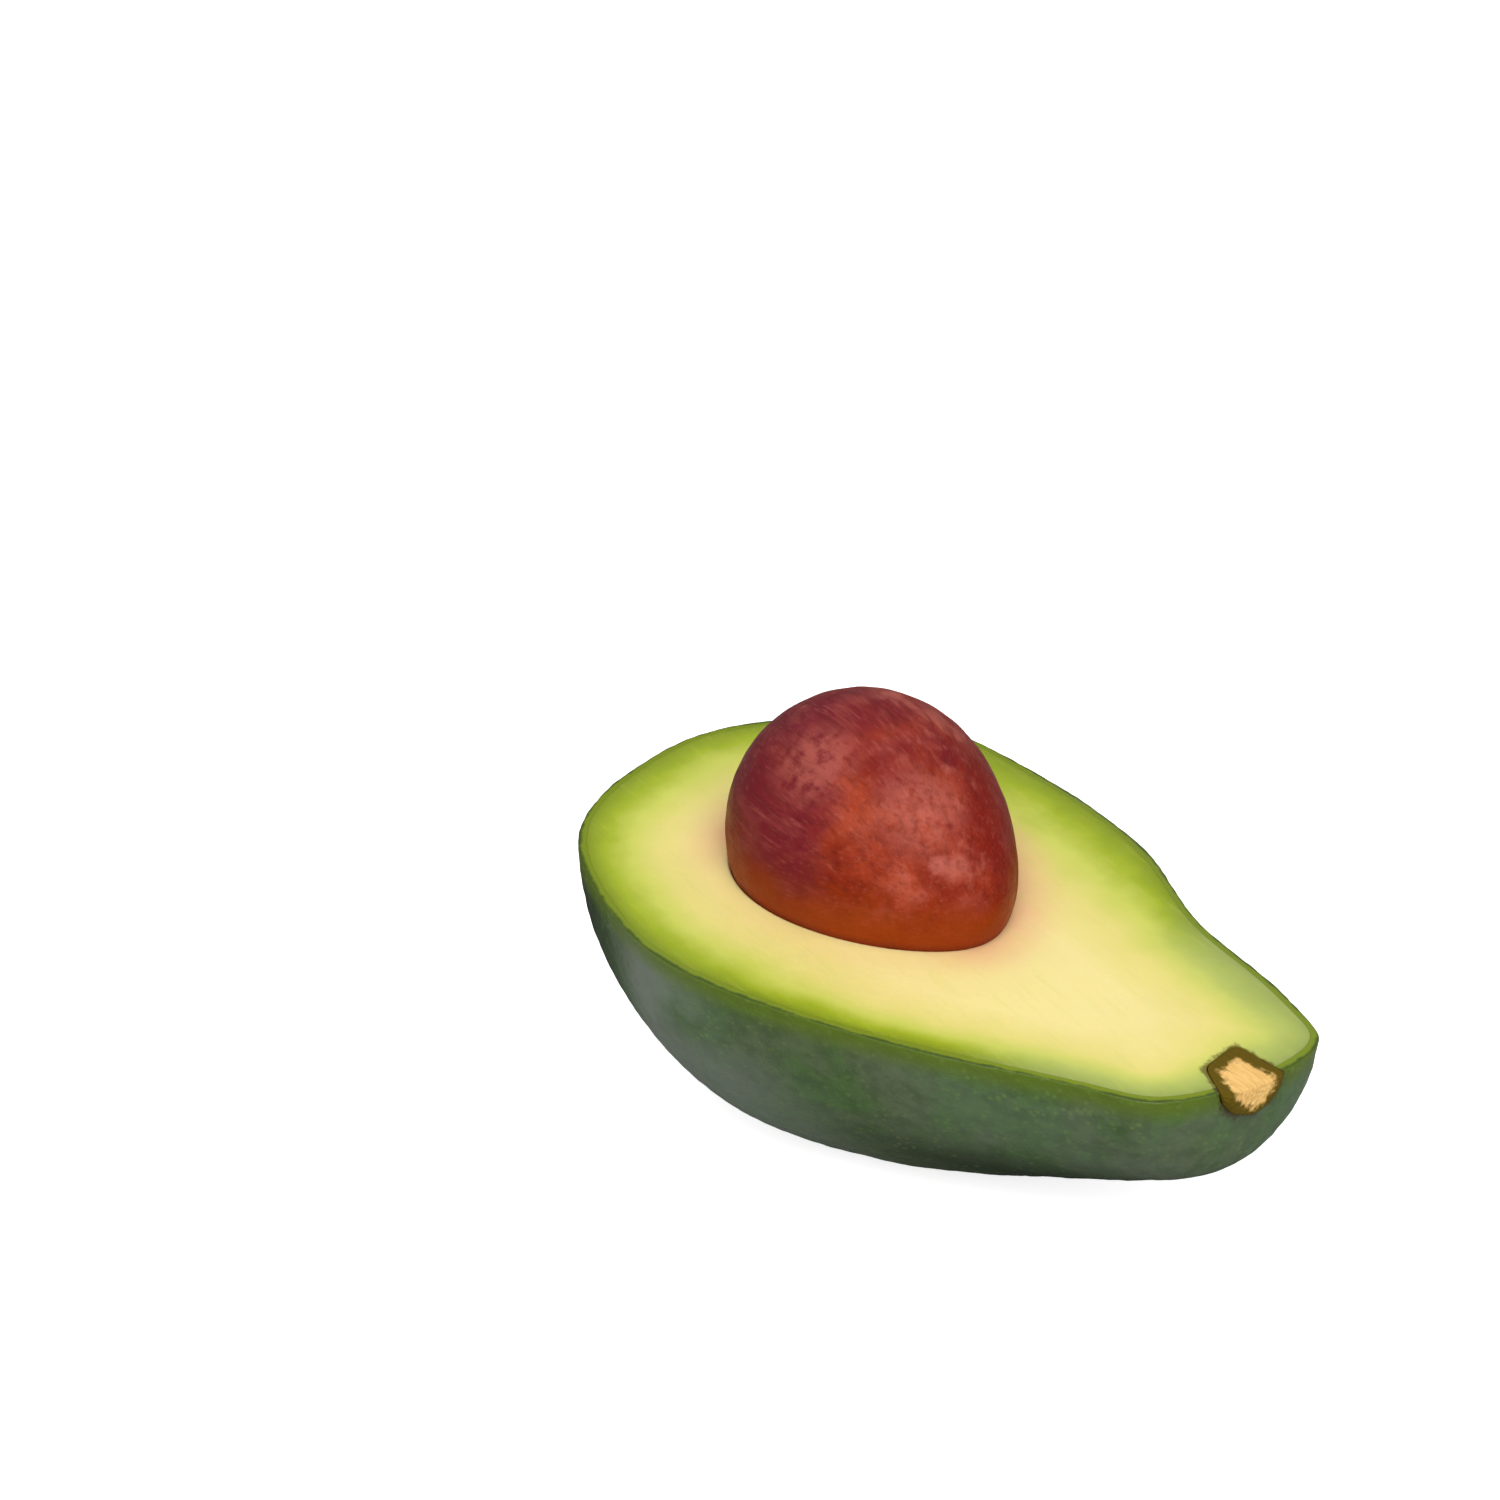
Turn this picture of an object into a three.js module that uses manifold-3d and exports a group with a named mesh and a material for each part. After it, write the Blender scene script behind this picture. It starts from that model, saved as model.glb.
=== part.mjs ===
// Half an avocado with its seed still in it, cut lengthwise and lying on its back, neck dipped.
// Millimetres, +Z up. The fruit is shaped along its own axes: x from the blossom end to the stem
// end, y across the cut face and z out of it, with the cut face at z = 0. A group then tips it
// into the pose in which it rests.

import * as THREE from "three";
import { mergeVertices } from "three/addons/utils/BufferGeometryUtils.js";
import Module from "manifold-3d";

// Ribs of the fruit from the blossom end to the stem end: place along it, half width across the
// cut, depth below the cut, and how far the neck has bent to one side.
const ribs = [
  { along: 0, half: 0, depth: 0, bend: 0 },
  { along: 3.5, half: 13.9, depth: 16.7, bend: 0.3 },
  { along: 10, half: 25.4, depth: 29.4, bend: 0.1 },
  { along: 20, half: 33.2, depth: 37.3, bend: -0.1 },
  { along: 34, half: 36.7, depth: 39.8, bend: -0.6 },
  { along: 50, half: 37.7, depth: 40.1, bend: -0.3 },
  { along: 66, half: 34.2, depth: 36.7, bend: 1.6 },
  { along: 81, half: 27.7, depth: 31.1, bend: 3.5 },
  { along: 95, half: 22.1, depth: 24.9, bend: 8 },
  { along: 106, half: 17.2, depth: 19.9, bend: 11.5 },
  { along: 112.6, half: 12.4, depth: 13.7, bend: 13.1 },
  { along: 115, half: 0, depth: 0, bend: 13.8 },
];
const skinThickness = 1.2;

// The seed is an egg, fatter toward the blossom end and a little pointed at both ends, with its
// middle a little above the cut. It is turned slightly toward the side to which the neck bends.
const seed = {
  along: 47.6,
  rise: 5,
  halfLength: 25,
  halfWidth: 19.3,
  halfHeight: 20.6,
  egg: 0.17,
  point: 1.26,
  turn: THREE.MathUtils.degToRad(4),
};

// What is left of the stalk flares out toward the stem end, where it stands just proud of the skin.
const stub = { across: 12.7, root: 108.3, tip: 115.8, rootRadius: 3.4, tipRadius: 5, edge: 0.5 };

// Pose: the stem end dips and the +y side rises. The belly is pressed flat where it bears.
const stemDip = THREE.MathUtils.degToRad(12.5);
const sideRise = THREE.MathUtils.degToRad(7);
const restFlat = 0.9;

const gap = 0.3; // between touching pieces
const reach = 400; // edge of the blocks that cut, longer than the fruit

// Facets
const fruitAround = 48;
const stepsPerRib = 3;
const seedAround = 32;
const seedAlong = 18;
const stubAround = 24;

const wasm = await Module();
wasm.setup();

// A closed solid from a three.js geometry.
function solid(geometry) {
  const bare = geometry.clone();
  bare.deleteAttribute("normal");
  bare.deleteAttribute("uv");
  const merged = mergeVertices(bare);
  const vertProperties = new Float32Array(merged.attributes.position.array);
  const triVerts = new Uint32Array(merged.index.array);
  return new wasm.Manifold(new wasm.Mesh({ numProp: 3, vertProperties, triVerts }));
}

// A unit ball pulled into shape: place() turns the angle from one end and the angle round the
// length into a point. No corner of it lies on the cut plane.
function pulledBall(around, along, place) {
  const ball = new THREE.SphereGeometry(1, around, along, Math.PI / around);
  ball.deleteAttribute("normal");
  ball.deleteAttribute("uv");
  const merged = mergeVertices(ball);
  const corners = merged.attributes.position;
  for (let i = 0; i < corners.count; i++) {
    const turn = Math.acos(THREE.MathUtils.clamp(corners.getY(i), -1, 1));
    const spin = Math.atan2(corners.getZ(i), corners.getX(i));
    corners.setXYZ(i, ...place(turn, spin));
  }
  merged.computeVertexNormals();
  return merged;
}

// Every corner moved in along its normal.
function inset(geometry, distance) {
  const moved = geometry.clone();
  const corners = moved.attributes.position;
  const normals = geometry.attributes.normal;
  for (let i = 0; i < corners.count; i++) {
    const corner = new THREE.Vector3().fromBufferAttribute(corners, i);
    corner.addScaledVector(new THREE.Vector3().fromBufferAttribute(normals, i), -distance);
    corners.setXYZ(i, corner.x, corner.y, corner.z);
  }
  return moved;
}

// A size of the ribs at any station between them, by a Catmull-Rom spline. Past an end the ribs
// run back along the other side, which rounds that end.
function ribSize(name, station) {
  const last = ribs.length - 1;
  const first = Math.min(Math.floor(station), last - 1);
  const side = name === "half" || name === "depth" ? -1 : 1;
  const [a, b, c, d] = [first - 1, first, first + 1, first + 2].map((i) => {
    if (i < 0) return side * ribs[-i][name];
    if (i > last) return side * ribs[2 * last - i][name];
    return ribs[i][name];
  });
  const t = station - first;
  const curve = 2 * a - 5 * b + 4 * c - d + t * (3 * (b - c) + d - a);
  return b + 0.5 * t * (c - a + t * curve);
}

function wholeFruit() {
  const last = ribs.length - 1;
  return pulledBall(fruitAround, last * stepsPerRib, (turn, spin) => {
    const station = (turn / Math.PI) * last;
    return [
      ribSize("along", station),
      ribSize("bend", station) + ribSize("half", station) * Math.cos(spin),
      ribSize("depth", station) * Math.sin(spin),
    ];
  });
}

function seedEgg(grown) {
  const egg = pulledBall(seedAround, seedAlong, (turn, spin) => {
    const swell = Math.sin(turn) ** seed.point * (1 + seed.egg * Math.cos(turn));
    return [
      -(seed.halfLength + grown) * Math.cos(turn),
      (seed.halfWidth + grown) * swell * Math.cos(spin),
      (seed.halfHeight + grown) * swell * Math.sin(spin),
    ];
  });
  return egg.rotateZ(seed.turn).translate(seed.along, 0, seed.rise);
}

// The whole stalk end before it is halved with the fruit.
function stalkEnd(grown) {
  const root = stub.root - grown;
  const tip = stub.tip + grown;
  const profile = [
    [0, root],
    [stub.rootRadius + grown - stub.edge, root],
    [stub.rootRadius + grown, root + stub.edge],
    [stub.tipRadius + grown, tip - stub.edge],
    [stub.tipRadius + grown - stub.edge, tip],
    [0, tip],
  ].map(([radius, along]) => new THREE.Vector2(radius, along));
  const lathe = new THREE.LatheGeometry(profile, stubAround, Math.PI / stubAround);
  return lathe.rotateZ(-Math.PI / 2).translate(0, stub.across, 0);
}

// Everything below a level of the fruit's own frame.
function below(level) {
  return solid(new THREE.BoxGeometry(reach, reach, reach).translate(0, 0, level - reach / 2));
}

const fruit = wholeFruit();
const resting = new THREE.Group();
resting.rotation.set(sideRise, stemDip, 0, "YXZ");
resting.updateMatrix();
const belly = new THREE.Box3().setFromBufferAttribute(
  fruit.clone().applyMatrix4(resting.matrix).attributes.position,
).min.z;
resting.position.z = -belly - restFlat;
resting.updateMatrix();

// Everything above a height over the table, seen in the fruit's own frame.
function aboveTable(height) {
  const block = new THREE.BoxGeometry(reach, reach, reach).translate(0, 0, height + reach / 2);
  return solid(block.applyMatrix4(resting.matrix.clone().invert()));
}

// The fruit moved in by a distance all round, its flat spot too.
function layer(distance) {
  return solid(inset(fruit, distance)).intersect(aboveTable(distance));
}

function skinShell() {
  const rind = layer(0).subtract(layer(skinThickness));
  return rind.intersect(below(0)).subtract(solid(stalkEnd(gap)));
}

function fleshBody() {
  const body = layer(skinThickness + gap).intersect(below(0));
  return body.subtract(solid(seedEgg(gap))).subtract(solid(stalkEnd(gap)));
}

function stemStub() {
  return solid(stalkEnd(0)).intersect(below(0));
}

function mesh(name, made, color, roughness) {
  const { vertProperties, triVerts } = made.getMesh();
  const indexed = new THREE.BufferGeometry();
  indexed.setAttribute("position", new THREE.BufferAttribute(vertProperties, 3));
  indexed.setIndex(new THREE.BufferAttribute(triVerts, 1));
  const material = new THREE.MeshStandardMaterial({ color, roughness, metalness: 0 });
  const result = new THREE.Mesh(indexed, material);
  result.name = name;
  return result;
}

resting.add(
  mesh("skin", skinShell(), 0x3c5a3c, 0.4),
  mesh("flesh", fleshBody(), 0xe6dc8c, 0.5),
  mesh("seed", solid(seedEgg(0)), 0x8c3c26, 0.45),
  mesh("stem_stub", stemStub(), 0xd8ab60, 0.8),
);

// The middle of the object's plan stands over the origin.
const middle = new THREE.Box3().setFromObject(resting, true).getCenter(new THREE.Vector3());
resting.position.x = -middle.x;
resting.position.y = -middle.y;

const avocado = new THREE.Group();
avocado.add(resting);

export default avocado;
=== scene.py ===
"""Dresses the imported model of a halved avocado: rind, flesh, seed and stalk end, on a plain stage.

The fruit is shaped along its own axes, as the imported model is: x from the blossom end to the stem
end, y across the cut and z out of the cut face, with the cut face at z = 0. tipped() then lays it
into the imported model's frame. Lengths are in metres.
"""

import math

import bmesh
import bpy
import numpy as np
from mathutils import Euler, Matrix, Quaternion, Vector


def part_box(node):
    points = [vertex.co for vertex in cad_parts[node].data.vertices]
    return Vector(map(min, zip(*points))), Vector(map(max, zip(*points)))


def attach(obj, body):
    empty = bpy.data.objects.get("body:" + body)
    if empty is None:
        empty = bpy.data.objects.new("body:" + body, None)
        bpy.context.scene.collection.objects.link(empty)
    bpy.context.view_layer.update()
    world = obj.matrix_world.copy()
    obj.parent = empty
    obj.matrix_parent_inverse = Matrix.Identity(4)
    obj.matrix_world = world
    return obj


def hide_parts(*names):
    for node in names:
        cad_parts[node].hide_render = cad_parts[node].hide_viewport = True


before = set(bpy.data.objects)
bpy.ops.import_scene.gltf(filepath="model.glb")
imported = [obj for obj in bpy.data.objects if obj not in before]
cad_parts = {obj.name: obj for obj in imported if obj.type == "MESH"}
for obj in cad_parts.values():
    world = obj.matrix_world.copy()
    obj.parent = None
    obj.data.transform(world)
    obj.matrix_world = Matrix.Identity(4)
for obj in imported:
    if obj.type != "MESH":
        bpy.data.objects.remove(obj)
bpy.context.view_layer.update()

bl_info = {
    "name": "Avocado half",
    "version": (1, 0, 0),
    "blender": (4, 5, 0),
    "location": "View3D > Sidebar > Avocado",
    "description": "Builds the rind, flesh, seed and stalk end of a halved avocado, and a stage",
    "category": "Object",
}

MM = 0.001

# Ribs of the whole fruit, in millimetres: place along it, half width across the cut, depth below
# the cut, and how far the neck has bent to one side.
RIBS = np.array(
    [
        (0, 0, 0, 0),
        (3.5, 13.9, 16.7, 0.3),
        (10, 25.4, 29.4, 0.1),
        (20, 33.2, 37.3, -0.1),
        (34, 36.7, 39.8, -0.6),
        (50, 37.7, 40.1, -0.3),
        (66, 34.2, 36.7, 1.6),
        (81, 27.7, 31.1, 3.5),
        (95, 22.1, 24.9, 8),
        (106, 17.2, 19.9, 11.5),
        (112.6, 12.4, 13.7, 13.1),
        (115, 0, 0, 13.8),
    ]
)
LAST_RIB = len(RIBS) - 1

# How the half lies: the stem end dips and the +y side rises.
LAY_TURN = (math.radians(7), math.radians(12.5), 0)
LAY = np.array(Euler(LAY_TURN).to_matrix())

# Relief: the height and size of each layer of swells, in millimetres, and its draw.
RIND_SWELLS = ((0.18, 9, 21), (0.05, 1.2, 22))
FLESH_SWELLS = ((0.16, 13, 31), (0.04, 4, 32))
SEED_SWELLS = ((0.3, 14, 41), (0.06, 2.5, 42))
STALK_SWELLS = ((2, 3.4, 52), (1, 1.6, 51))  # the heights are in shares of the stalk's lobes
FACE_CALM = (3 * MM, 2 * MM)  # how far the cut face stays calm from the seed and from the rind
PEBBLE_DRAW = 11
PEBBLE_MEAN = 0.4
PEBBLE_FALL = 1.6  # how fast a pebble falls away from its middle
RIDGE_DRAW = 43
RIDGE_HEIGHT = 0.06 * MM
RIDGE_WIDTH = 0.09  # as a share of the seed's radius
RIDGE_STRETCH = 0.35  # how much less the ridges change along the seed than round it

# Fineness of the meshes.
MERGE = 1e-7
TINY = 1e-9
SHARP = math.radians(40)
DENSE_STATIONS = 2001
BOX_STEPS = 201
BATCH = 500  # points whose distances are worked out at once
FRUIT_ROWS = 221
SKIN_COLUMNS = 221
SKIN_INSIDE_COLUMNS = 33
FLESH_BELLY_COLUMNS = 33
FLESH_FACE_ROWS = 60
RIM_WIDTH = 3.6 * MM
RIM_STEPS = np.array([2.7, 2.0, 1.4, 0.9, 0.55, 0.3, 0.12, 0]) * MM
RIM_ANGLES = np.array([0, 0.002, 0.005, 0.009])
RIM_END_ANGLE = 0.014
HALVINGS = 40
LIP_ROWS = 6
HOLLOW_ROWS = 20
SEED_ROWS = 181
SEED_COLUMNS = 240
STALK_ROWS = 72
STALK_ARC_COLUMNS = 56
STALK_TOP_COLUMNS = 48
STALK_CAP_ROWS = 10
STALK_CAP_MIDDLE = 0.4  # how deep the caps' middles lie, as a share of the radius
FLOOR_RADII = np.concatenate([[0], np.geomspace(0.05, 15, 24)])
FLOOR_SPOKES = 96
SURROUND_TOP = 0.8  # height, as a sine, from which the surround is brightest


def shown(red, green, blue):
    """A colour given as it looks on a screen, 0 to 255 a channel, as linear light with alpha."""
    channels = np.array([red, green, blue]) / 255
    low = channels / 12.92
    high = ((channels + 0.055) / 1.055) ** 2.4
    return (*np.where(channels < 0.04045, low, high).tolist(), 1.0)


def number(name, description, default, **more):
    """A number property."""
    return bpy.props.FloatProperty(name=name, description=description, default=default, **more)


def length(name, description, default_mm):
    """A length property, given in millimetres."""
    return number(name, description, default_mm * MM, unit="LENGTH", precision=5)


def angle(name, description, default_degrees):
    """An angle property, given in degrees."""
    return number(name, description, math.radians(default_degrees), subtype="ANGLE")


def spot(name, description, *default_mm):
    """A property for a place in the fruit's own frame, given in millimetres."""
    return bpy.props.FloatVectorProperty(
        name=name,
        description=description,
        default=[value * MM for value in default_mm],
        subtype="TRANSLATION",
        precision=5,
    )


def colour(name, description, red, green, blue):
    """A colour property, given as it looks on a screen."""
    return bpy.props.FloatVectorProperty(
        name=name,
        description=description,
        default=shown(red, green, blue),
        subtype="COLOR",
        size=4,
        min=0,
        max=1,
    )


class AvocadoSizes(bpy.types.PropertyGroup):
    """Sizes of the pieces."""

    skin_thickness: length("Rind", "Thickness of the rind", 1.2)
    seat: length("Seat", "Clearance between flesh and rind", 0.02)
    skin_edge: length("Rind edge", "Rounding of the rind's cut edge", 0.25)
    pebble: length("Pebble", "Distance between the pebbles of the rind", 2.3)
    pebble_height: length("Pebble height", "How far the pebbles stand out", 0.12)
    seed_along: length("Seed place", "Middle of the seed, from the blossom end", 47.6)
    seed_rise: length("Seed rise", "Middle of the seed, above the cut", 5)
    seed_half_length: length("Seed half length", "Half of the seed's length", 25)
    seed_half_width: length("Seed half width", "Half of the seed's width", 19.3)
    seed_half_height: length("Seed half height", "Half of the seed's height", 20.6)
    seed_egg: number("Seed egg", "How much fatter the blossom end of the seed is", 0.17)
    seed_point: number("Seed point", "1 for round ends, more for pointed ones", 1.26)
    seed_turn: angle("Seed turn", "Turn of the seed toward the side to which the neck bends", 4)
    seed_room: length("Seed room", "Clearance between the seed and its hollow", 0.08)
    lip: length("Lip", "Rounding of the flesh round the seed", 0.4)
    stalk_across: length("Stalk place", "Middle of the stalk, across the cut", 12.7)
    stalk_root: length("Stalk root", "Inner end of the stalk, from the blossom end", 108.3)
    stalk_tip: length("Stalk tip", "Outer end of the stalk, from the blossom end", 115.8)
    stalk_root_radius: length("Stalk root radius", "Radius at the inner end", 3.4)
    stalk_tip_radius: length("Stalk tip radius", "Radius at the outer end", 5)
    stalk_corner: length("Stalk corner", "Rounding between the stalk's side and its ends", 1.3)
    stalk_slant: number("Stalk slant", "Slope of the stalk's inner end across the cut", 0.3)
    stalk_lobes: number("Stalk lobes", "How uneven the side is, as a share of the radius", 0.04)
    pit_room: length("Pit room", "Clearance between the stalk and its pit", 0.15)


class AvocadoColours(bpy.types.PropertyGroup):
    """Colours of the pieces."""

    skin_deep: colour("Rind, deep", "Darkest green of the rind", 44, 66, 24)
    skin_green: colour("Rind, green", "Main green of the rind", 71, 105, 47)
    skin_dull: colour("Rind, dull", "Dull grey-green patches of the rind", 86, 102, 67)
    skin_warm: colour("Rind, under the cut", "Warmer green of the rind by its cut edge", 90, 112, 4)
    # partly painted sheen: this grey stands in for the pale surround reflected in the rind
    skin_bloom_and_sheen: colour("Rind, bloom", "Grey waxy bloom of the rind", 128, 137, 126)
    # painted shade: this dark green darkens the blossom end and the underside of the neck
    skin_tip_painted_shade: colour("Rind, blossom end", "Dark green of the rind at the blossom end", 18, 38, 0)
    skin_fleck: colour("Rind, flecks", "Small pale flecks of the rind", 118, 144, 70)
    rind_line: colour("Rind, outer line", "Outermost line of the rind's cut edge", 66, 86, 18)
    rind_cut: colour("Rind, cut", "Cut edge of the rind", 122, 140, 22)
    cork: colour("Cork", "Corky brown round the stalk and at the blossom scar", 66, 48, 20)
    flesh_heart: colour("Flesh, middle", "Flesh far from the rind", 254, 235, 157)
    flesh_pale: colour("Flesh, pale", "Flesh half way to the rind", 236, 225, 130)
    flesh_lime: colour("Flesh, lime", "Flesh on the inner side of the green band", 210, 216, 94)
    flesh_green: colour("Flesh, green", "Flesh in the green band", 167, 185, 34)
    flesh_rim: colour("Flesh, rim", "Flesh that touches the rind", 131, 150, 14)
    flesh_stem: colour("Flesh, stem end", "Greyer green of the flesh by the stalk", 186, 196, 132)
    # partly painted shade: this peach also darkens the flesh round the seed
    flesh_stain_and_shade: colour("Flesh, seed", "Flesh stained by the seed", 249, 198, 146)
    seed_red: colour("Seed, red", "Main red-brown of the seed", 134, 37, 14)
    seed_light: colour("Seed, light", "Lighter orange-red of the seed", 162, 59, 30)
    # partly painted shade: this wine red darkens one cheek and the crown
    seed_wine_and_shade: colour("Seed, wine", "Wine red cheek and crown of the seed", 112, 25, 40)
    # partly painted shade: this crimson darkens the other cheek
    seed_crimson_and_shade: colour("Seed, crimson", "Deeper red of the seed's other cheek", 122, 22, 14)
    # partly painted shade: besides the streaks, this darkens the seed just above the cut
    seed_dark_and_shade: colour("Seed, dark", "Dark streaks of the seed", 84, 22, 12)
    seed_rust: colour("Seed, rust", "Rusty brown near the flesh", 144, 54, 2)
    # partly painted highlight: this pale colour also lights the middle of the seed
    seed_dust_and_highlight: colour("Seed, pale", "Pale papery scuffs of the seed", 194, 104, 89)
    stalk_wood: colour("Stalk, wood", "Cut wood of the stalk", 253, 206, 128)
    stalk_fibre: colour("Stalk, fibre", "Darker fibres of the stalk", 232, 180, 98)
    stalk_bark: colour("Stalk, bark", "Bark of the stalk", 100, 82, 6)


class AvocadoStage(bpy.types.PropertyGroup):
    """Floor, light and camera. The camera's places are in the fruit's own frame."""

    floor: colour("Floor", "Colour of the floor", 250, 250, 250)
    floor_bounce: colour("Floor bounce", "Light that the floor throws up", 182, 182, 182)
    floor_glow: number("Floor glow", "Light added to the floor as it is seen", 0.77)
    surround_low: number("Low surround", "Brightness of the surround at the horizon", 0.2)
    surround_high: number("High surround", "Brightness of the surround overhead", 0.5)
    key: number("Key", "Strength of the soft main light", 2.6)
    key_spread: angle("Key spread", "Width of the main light, as seen from the avocado", 55)
    key_bearing: angle("Key bearing", "Bearing of the main light, from +X toward -Y", 30)
    key_height: angle("Key height", "Height of the main light over the level", 33)
    camera_place: spot("Camera place", "Where the camera stands", 346.72, -208.19, 224.51)
    camera_aim: spot("Camera aim", "Point that the camera looks at", 4.76, 5.10, -2.38)
    camera_roll: angle("Camera roll", "Turn of the camera about its own view line", -0.17)
    camera_lens: number("Camera lens", "Focal length in millimetres, on a 36 mm sensor", 72)


# Shape of the fruit


def mirrored_ribs():
    """The ribs run to the stem end and back along the other side, as one closed loop."""
    return np.concatenate([RIBS, RIBS[-2:0:-1] * (1, -1, -1, 1)]) * MM


RIB_LOOP = mirrored_ribs()


def loop_curvature():
    """Second differences that make the loop a smooth cubic spline, solved by Fourier transform."""
    wave = 2 * np.pi * np.fft.fftfreq(len(RIB_LOOP))[:, None]
    ratio = 6 * (2 * np.cos(wave) - 2) / (4 + 2 * np.cos(wave))
    return np.fft.ifft(np.fft.fft(RIB_LOOP, axis=0) * ratio, axis=0).real


RIB_CURVATURE = loop_curvature()


def rib_sizes(station):
    """Place along the fruit, half width, depth and bend at any station between the ribs."""
    first = np.floor(station).astype(int)
    part = (station - first)[..., None]
    last = (first + 1) % len(RIB_LOOP)
    first = first % len(RIB_LOOP)
    straight = (1 - part) * RIB_LOOP[first] + part * RIB_LOOP[last]
    start = ((1 - part) ** 3 - (1 - part)) * RIB_CURVATURE[first]
    end = (part**3 - part) * RIB_CURVATURE[last]
    return np.moveaxis(straight + (start + end) / 6, -1, 0)


def fruit_point(station, spin):
    """The fruit's skin: along the ribs by station, and round each rib's ellipse by spin."""
    along, half, depth, bend = rib_sizes(station)
    return np.stack([along, bend + half * np.cos(spin), depth * np.sin(spin)], -1)


def unit(vectors):
    """The vectors at length one."""
    return vectors / np.linalg.norm(vectors, axis=-1, keepdims=True)


def fruit_normal(station, spin):
    """Outward direction of the skin: the cross product of its slopes, and the axis at the ends."""
    step = 1e-3
    inside = np.clip(station, 2 * step, LAST_RIB - 2 * step)
    along = fruit_point(inside + step, spin) - fruit_point(inside - step, spin)
    around = fruit_point(inside, spin + step) - fruit_point(inside, spin - step)
    normal = unit(np.cross(around, along))
    normal = np.where((station <= 0)[..., None], (-1.0, 0.0, 0.0), normal)
    return np.where((station >= LAST_RIB)[..., None], (1.0, 0.0, 0.0), normal)


def even_stations(count):
    """Stations at even steps along the fruit's side, measured over its surface."""
    dense = np.linspace(0, LAST_RIB, DENSE_STATIONS)
    side = fruit_point(dense, np.full_like(dense, np.pi))
    run = np.concatenate([[0], np.cumsum(np.linalg.norm(np.diff(side, axis=0), axis=1))])
    return np.interp(np.linspace(0, run[-1], count), run, dense)


def tip_place():
    """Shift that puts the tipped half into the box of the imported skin."""
    belly = np.linspace(np.pi, 2 * np.pi, BOX_STEPS)
    station, spin = np.meshgrid(even_stations(BOX_STEPS), belly)
    points = fruit_point(station, spin).reshape(-1, 3) @ LAY.T
    low, high = (np.array(corner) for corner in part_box("skin"))
    middle = (low + high) / 2 - (points.min(0) + points.max(0)) / 2
    return np.array([middle[0], middle[1], high[2] - points[:, 2].max()])


TIP_PLACE = tip_place()


def tipped(points, floor=None):
    """Points of the fruit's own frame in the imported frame. None ends up lower than floor."""
    placed = points @ LAY.T + TIP_PLACE
    if floor is not None:
        placed[..., 2] = np.maximum(placed[..., 2], floor)
    return placed


def untipped(points):
    """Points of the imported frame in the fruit's own frame."""
    return (points - TIP_PLACE) @ LAY


# Relief


LATTICE_START = 4096  # keeps the cells' numbers positive
CELL_FACTORS = np.array([73856093, 19349663, 83492791], dtype=np.uint64)
DRAW_FACTOR = 2654435761
STIRS = np.array([(15, 2246822519), (13, 3266489917)], dtype=np.uint64)
LAST_SHIFT = np.uint64(16)
LOW_BITS = np.uint64(0xFFFFFFFF)


def scatter(cell, draw):
    """A repeatable number from 0 to 1 for each cell of a lattice, by stirring the cell's bits."""
    x, y, z = np.moveaxis(cell.astype(np.uint64) * CELL_FACTORS, -1, 0)
    bits = (x ^ y ^ z ^ np.uint64(draw * DRAW_FACTOR)) & LOW_BITS
    for shift, factor in STIRS:
        bits = ((bits ^ (bits >> shift)) * factor) & LOW_BITS
    return (bits ^ (bits >> LAST_SHIFT)).astype(float) / float(LOW_BITS)


def swells(points, size, draw):
    """Smooth noise from -1 to 1: numbers scattered on a lattice of that size, eased between."""
    place = points / size + LATTICE_START
    cell = np.floor(place).astype(int)
    part = place - cell
    ease = part * part * (3 - 2 * part)
    total = 0
    for corner in np.ndindex(2, 2, 2):
        weight = np.prod(np.where(corner, ease, 1 - ease), axis=-1)
        total = total + weight * scatter(cell + corner, draw)
    return 2 * total - 1


def pebbles(points, size, draw):
    """Rounded pebbles: 1 at scattered points, less by the square of the distance to the nearest."""
    place = points / size + LATTICE_START
    cell = np.floor(place).astype(int)
    nearest = np.full(points.shape[:-1], 9.0)
    for step in np.ndindex(3, 3, 3):
        neighbour = cell + step - 1
        drawn = np.stack([scatter(neighbour, draw + i) for i in range(3)], -1)
        gap = neighbour + drawn - place
        nearest = np.minimum(nearest, (gap * gap).sum(-1))
    return np.clip(1 - PEBBLE_FALL * nearest, 0, 1)


def layered(points, layers):
    """A sum of swells, one for each layer."""
    return sum(height * MM * swells(points, size * MM, draw) for height, size, draw in layers)


def smooth_step(value, low, high):
    """0 below low, 1 above high, eased between."""
    part = np.clip((value - low) / (high - low), 0, 1)
    return part * part * (3 - 2 * part)


# Meshes


def grid_faces(rows, columns, wrap=False):
    """Four-sided faces of a grid of points, closed across its columns if wrap is set."""
    across = columns if wrap else columns - 1
    row, column = np.meshgrid(np.arange(rows - 1), np.arange(across), indexing="ij")
    following = (column + 1) % columns
    corners = [
        row * columns + column,
        row * columns + following,
        (row + 1) * columns + following,
        (row + 1) * columns + column,
    ]
    return np.stack(corners, -1).reshape(-1, 4)


def joined(*grids):
    """Points and faces of several grids as one list of each."""
    points, faces, count = [], [], 0
    for grid_points, grid in grids:
        points.append(grid_points.reshape(-1, 3))
        faces.append(grid + count)
        count += len(points[-1])
    return np.concatenate(points), np.concatenate(faces)


def add_object(name, data):
    """An object in the scene."""
    made = bpy.data.objects.new(name, data)
    bpy.context.scene.collection.objects.link(made)
    return made


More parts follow.
